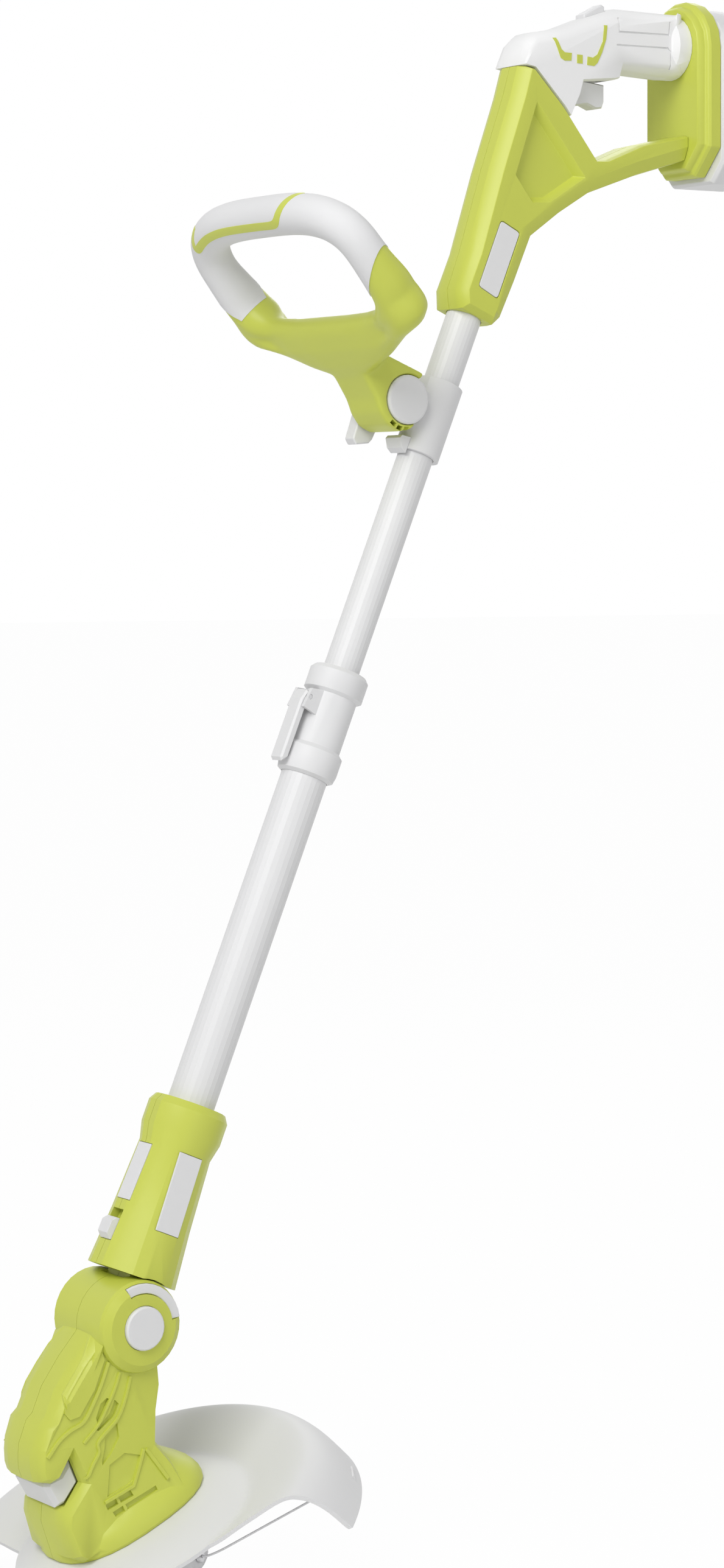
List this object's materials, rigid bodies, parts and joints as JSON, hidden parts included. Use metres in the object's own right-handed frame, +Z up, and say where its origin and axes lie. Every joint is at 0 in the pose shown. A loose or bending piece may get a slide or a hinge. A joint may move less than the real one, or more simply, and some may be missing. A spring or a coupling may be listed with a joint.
{
  "type": "cordless string trimmer",
  "caption": "Battery string trimmer with a telescopic shaft, D-shaped front handle, rear trigger grip, tilting cutting head, dished guard and nylon line spool.",
  "frame": {"origin": "centre of the rear grip, where the hand holds it", "axes": "+X to the rear, +Y to the user's right as the trimmer is carried, +Z up; the shaft leans forward and down in the XZ plane"},
  "size_m": [0.6258, 0.2749, 1.1065],
  "materials": {
    "lime": "fine moulded lime green plastic",
    "pale": "smooth pale grey plastic",
    "pale_grip": "soft pale grey overmould",
    "tube": "pale grey painted aluminium tube",
    "dark": "dark engineering plastic",
    "steel": "plain steel",
    "line": "pale nylon filament"
  },
  "bodies": {
    "handle": {"handle_shell_left": "lime", "handle_shell_right": "lime", "window_panel_left": "pale", "window_panel_right": "pale", "rear_grip": "pale_grip", "trigger_pin": "steel", "trigger_switch": "dark", "battery_mount": "lime", "terminal_block": "dark", "upper_tube": "tube", "tube_guide": "dark", "handle_bracket": "pale", "barrel_cap": "pale", "clamp_bolt": "steel"},
    "trigger": {"trigger": "pale"},
    "lock_off_button": {"lock_off_button": "pale"},
    "battery": {"battery_pack": "pale"},
    "latch_left": {"battery_latch_left": "pale"},
    "latch_right": {"battery_latch_right": "pale"},
    "clamp_lever": {"clamp_lever": "pale"},
    "front_handle": {"front_handle": "lime", "front_grip": "pale_grip"},
    "lower_shaft": {"lower_tube": "tube", "telescopic_collar": "pale", "lock_lever_pin": "steel", "retaining_ring": "steel"},
    "lock_lever": {"lock_lever": "pale"},
    "neck": {"neck_shell_left": "lime", "neck_shell_right": "lime", "neck_panel_left": "pale", "neck_panel_right": "pale", "neck_panel_front": "pale"},
    "swivel_button": {"swivel_button": "pale"},
    "head": {"head_shell_left": "lime", "head_shell_right": "lime", "ring_insert": "pale", "front_insert": "pale", "pivot_axle": "steel", "motor": "steel", "spindle_bearing": "steel", "guard": "pale", "guard_screw_left": "steel", "guard_screw_right": "steel", "line_blade": "steel"},
    "pivot_button": {"pivot_button": "pale"},
    "spool": {"spindle": "steel", "spool_housing": "pale", "spool_cover": "dark", "line_eyelet": "steel", "cutting_line": "line"},
    "reel": {"line_reel": "dark", "wound_line": "line"}
  },
  "joints": [
    {"name": "trigger_pull", "type": "hinge", "parent": "handle", "child": "trigger", "pos_m": [-0.072, 0, -0.033], "axis": [0, -1, 0], "range_deg": [0, 9], "stiffness_Nm_per_rad": 0.5},
    {"name": "lock_off_press", "type": "slide", "parent": "handle", "child": "lock_off_button", "axis": [0, 0, -1], "range_m": [0, 0.003], "stiffness_N_per_m": 500},
    {"name": "battery_slide", "type": "slide", "parent": "handle", "child": "battery", "axis": [1, 0, 0], "range_m": [0, 0.045]},
    {"name": "latch_left_press", "type": "slide", "parent": "battery", "child": "latch_left", "axis": [0, 1, 0], "range_m": [0, 0.0025], "stiffness_N_per_m": 400},
    {"name": "latch_right_press", "type": "slide", "parent": "battery", "child": "latch_right", "axis": [0, -1, 0], "range_m": [0, 0.0025], "stiffness_N_per_m": 400},
    {"name": "clamp_lever_turn", "type": "hinge", "parent": "handle", "child": "clamp_lever", "pos_m": [-0.22311, 0, -0.26567], "axis": [0, 1, 0], "range_deg": [0, 100]},
    {"name": "front_handle_tilt", "type": "hinge", "parent": "handle", "child": "front_handle", "pos_m": [-0.22311, 0, -0.26567], "axis": [0, 1, 0], "range_deg": [-8, 20]},
    {"name": "shaft_telescope", "type": "slide", "parent": "handle", "child": "lower_shaft", "axis": [0.3898, 0, 0.9209], "range_m": [0, 0.14]},
    {"name": "lock_lever_open", "type": "hinge", "parent": "lower_shaft", "child": "lock_lever", "pos_m": [-0.29887, 0, -0.47033], "axis": [0, 1, 0], "range_deg": [0, 90]},
    {"name": "neck_swivel", "type": "hinge", "parent": "lower_shaft", "child": "neck", "pos_m": [-0.41488, 0, -0.80346], "axis": [0.3898, 0, 0.9209], "range_deg": [0, 180]},
    {"name": "swivel_button_slide", "type": "slide", "parent": "neck", "child": "swivel_button", "axis": [0.3898, 0, 0.9209], "range_m": [0, 0.006], "stiffness_N_per_m": 200},
    {"name": "head_tilt", "type": "hinge", "parent": "neck", "child": "head", "pos_m": [-0.44723, 0, -0.87989], "axis": [0, -1, 0], "range_deg": [0, 40]},
    {"name": "pivot_button_press", "type": "slide", "parent": "head", "child": "pivot_button", "axis": [0, 1, 0], "range_m": [0, 0.003], "stiffness_N_per_m": 400},
    {"name": "spool_spin", "type": "hinge", "parent": "head", "child": "spool", "pos_m": [-0.43103, 0, -1.02636], "axis": [-0.4147, 0, 0.91], "continuous": true},
    {"name": "reel_index", "type": "hinge", "parent": "spool", "child": "reel", "pos_m": [-0.43103, 0, -1.02636], "axis": [-0.4147, 0, 0.91], "continuous": true}
  ]
}
